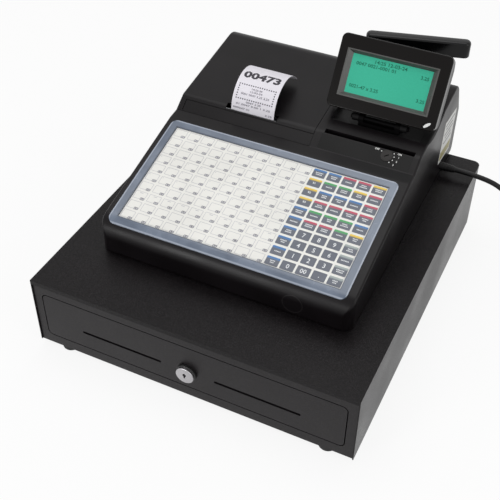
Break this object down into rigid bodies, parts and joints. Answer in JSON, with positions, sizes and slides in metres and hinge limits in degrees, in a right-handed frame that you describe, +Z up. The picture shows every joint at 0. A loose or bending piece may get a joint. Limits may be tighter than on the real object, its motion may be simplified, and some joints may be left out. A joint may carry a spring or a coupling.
{
  "type": "ticket register",
  "caption": "Electronic ticket register with a flat keyboard, receipt printer, tilting and swivelling displays and a mode key, on a steel cash drawer.",
  "frame": {"origin": "middle of the footprint from the drawer lock's face to the body's rear, on the surface the feet stand on", "axes": "+Z up, -Y towards the operator, +X to the operator's right"},
  "size_m": [0.616, 0.5169, 0.297],
  "materials": {
    "drawer_paint": "textured satin black",
    "zinc_steel": "zinc plated",
    "bright_steel": "polished",
    "foot_rubber": "matt",
    "case_plastic": "fine textured black",
    "till_plastic": "matt",
    "overlay_film": "glossy",
    "key_film": "printed film",
    "panel_film": "glossy",
    "display_plastic": "glossy",
    "bevel_plastic": "satin",
    "lcd_glass": "glossy",
    "window_plastic": "smoked",
    "paper": "matt",
    "platen_rubber": "matt",
    "gear_plastic": "satin",
    "board": "satin",
    "coil_core": "varnished",
    "cord_rubber": "satin"
  },
  "bodies": {
    "register": {"cabinet_shell": "drawer_paint", "cabinet_base": "drawer_paint", "cabinet_front_frame": "drawer_paint", "cabinet_slides": "zinc_steel", "release_solenoid": "zinc_steel", "ejector_spring": "zinc_steel", "printer_frame": "zinc_steel", "cover_rod": "zinc_steel", "display_hinge_pin": "zinc_steel", "thermal_head": "zinc_steel", "paper_motor": "zinc_steel", "cabinet_feet": "foot_rubber", "upper_case": "case_plastic", "lower_case": "case_plastic", "nose_plug": "case_plastic", "display_stand": "case_plastic", "customer_post": "case_plastic", "rear_ports": "case_plastic", "paper_bin": "till_plastic", "key_overlay": "overlay_film", "key_sheet": "key_film", "mode_panel": "panel_film", "mode_lock_housing": "panel_film", "paper_web": "paper", "key_board": "board", "main_board": "board", "power_supply": "coil_core", "strain_relief": "cord_rubber", "power_cord": "cord_rubber", "cord_coil": "cord_rubber", "power_plug": "cord_rubber"},
    "drawer": {"drawer_front": "drawer_paint", "drawer_tray": "zinc_steel", "drawer_slides": "zinc_steel", "lock_collar": "bright_steel", "note_tray": "till_plastic", "coin_tray": "till_plastic"},
    "slide_cage_pair": {"slide_cages": "zinc_steel"},
    "drawer_lock": {"lock_barrel": "bright_steel"},
    "plunger": {"release_plunger": "zinc_steel"},
    "mode_key": {"mode_key_rotor": "panel_film"},
    "print_cover": {"printer_cover": "case_plastic", "tear_bar": "zinc_steel", "receipt_paper": "paper"},
    "platen": {"platen_roller": "platen_rubber", "platen_gear_shaft": "zinc_steel"},
    "feed_pinion": {"motor_pinion": "gear_plastic"},
    "receipt_roll": {"paper_roll": "paper"},
    "operator_display": {"display_bezel": "display_plastic", "display_surround": "bevel_plastic", "lcd_module": "lcd_glass", "display_shell": "display_plastic"},
    "customer_display": {"customer_housing": "case_plastic", "customer_window": "window_plastic", "customer_tube": "window_plastic"},
    "clip_1": {"note_clip_1": "till_plastic"},
    "clip_2": {"note_clip_2": "till_plastic"},
    "clip_3": {"note_clip_3": "till_plastic"},
    "clip_4": {"note_clip_4": "till_plastic"},
    "clip_5": {"note_clip_5": "till_plastic"}
  },
  "joints": [
    {"name": "drawer_slide", "type": "slide", "parent": "register", "child": "drawer", "axis": [0, -1, 0], "range_m": [0, 0.3]},
    {"name": "cage_slide", "type": "slide", "parent": "register", "child": "slide_cage_pair", "axis": [0, -1, 0], "range_m": [0, 0.15]},
    {"name": "drawer_lock_turn", "type": "hinge", "parent": "drawer", "child": "drawer_lock", "pos_m": [0, -0.2305, 0.047], "axis": [0, 1, 0], "range_deg": [0, 90]},
    {"name": "plunger_slide", "type": "slide", "parent": "register", "child": "plunger", "axis": [-1, 0, 0], "range_m": [0, 0.006], "stiffness_N_per_m": 200, "springref_m": -0.002},
    {"name": "clip_1_lift", "type": "hinge", "parent": "drawer", "child": "clip_1", "pos_m": [-0.13984, 0.0767, 0.0676], "axis": [-1, 0, 0], "range_deg": [0, 20], "stiffness_Nm_per_rad": 0.05, "springref_deg": -34.38},
    {"name": "clip_2_lift", "type": "hinge", "parent": "drawer", "child": "clip_2", "pos_m": [-0.06992, 0.0767, 0.0676], "axis": [-1, 0, 0], "range_deg": [0, 20], "stiffness_Nm_per_rad": 0.05, "springref_deg": -34.38},
    {"name": "clip_3_lift", "type": "hinge", "parent": "drawer", "child": "clip_3", "pos_m": [0, 0.0767, 0.0676], "axis": [-1, 0, 0], "range_deg": [0, 20], "stiffness_Nm_per_rad": 0.05, "springref_deg": -34.38},
    {"name": "clip_4_lift", "type": "hinge", "parent": "drawer", "child": "clip_4", "pos_m": [0.06992, 0.0767, 0.0676], "axis": [-1, 0, 0], "range_deg": [0, 20], "stiffness_Nm_per_rad": 0.05, "springref_deg": -34.38},
    {"name": "clip_5_lift", "type": "hinge", "parent": "drawer", "child": "clip_5", "pos_m": [0.13984, 0.0767, 0.0676], "axis": [-1, 0, 0], "range_deg": [0, 20], "stiffness_Nm_per_rad": 0.05, "springref_deg": -34.38},
    {"name": "mode_key_turn", "type": "hinge", "parent": "register", "child": "mode_key", "pos_m": [0.1172, 0.04928, 0.19682], "axis": [0, -0.5527, 0.8334], "range_deg": [-60, 120]},
    {"name": "cover_lift", "type": "hinge", "parent": "register", "child": "print_cover", "pos_m": [-0.066, 0.1995, 0.21162], "axis": [-1, 0, 0], "range_deg": [0, 60]},
    {"name": "roll_spin", "type": "hinge", "parent": "register", "child": "receipt_roll", "pos_m": [-0.0584, 0.1415, 0.157], "axis": [1, 0, 0], "continuous": true},
    {"name": "platen_spin", "type": "hinge", "parent": "register", "child": "platen", "pos_m": [-0.0584, 0.0621, 0.17], "axis": [1, 0, 0], "continuous": true},
    {"name": "pinion_spin", "type": "hinge", "parent": "register", "child": "feed_pinion", "pos_m": [-0.0584, 0.07678, 0.16153], "axis": [1, 0, 0], "continuous": true},
    {"name": "display_tilt", "type": "hinge", "parent": "register", "child": "operator_display", "pos_m": [0.0928, 0.09014, 0.21128], "axis": [1, 0, 0], "range_deg": [-5, 15]},
    {"name": "customer_swivel", "type": "hinge", "parent": "register", "child": "customer_display", "pos_m": [0.1015, 0.178, 0.284], "axis": [0, 0, 1], "range_deg": [-35, 5]}
  ],
  "couplings": [
    {"joint": "cage_slide", "follows": "drawer_slide", "ratio": 0.5},
    {"joint": "platen_spin", "follows": "roll_spin", "ratio": 4.8},
    {"joint": "pinion_spin", "follows": "roll_spin", "ratio": -12}
  ]
}
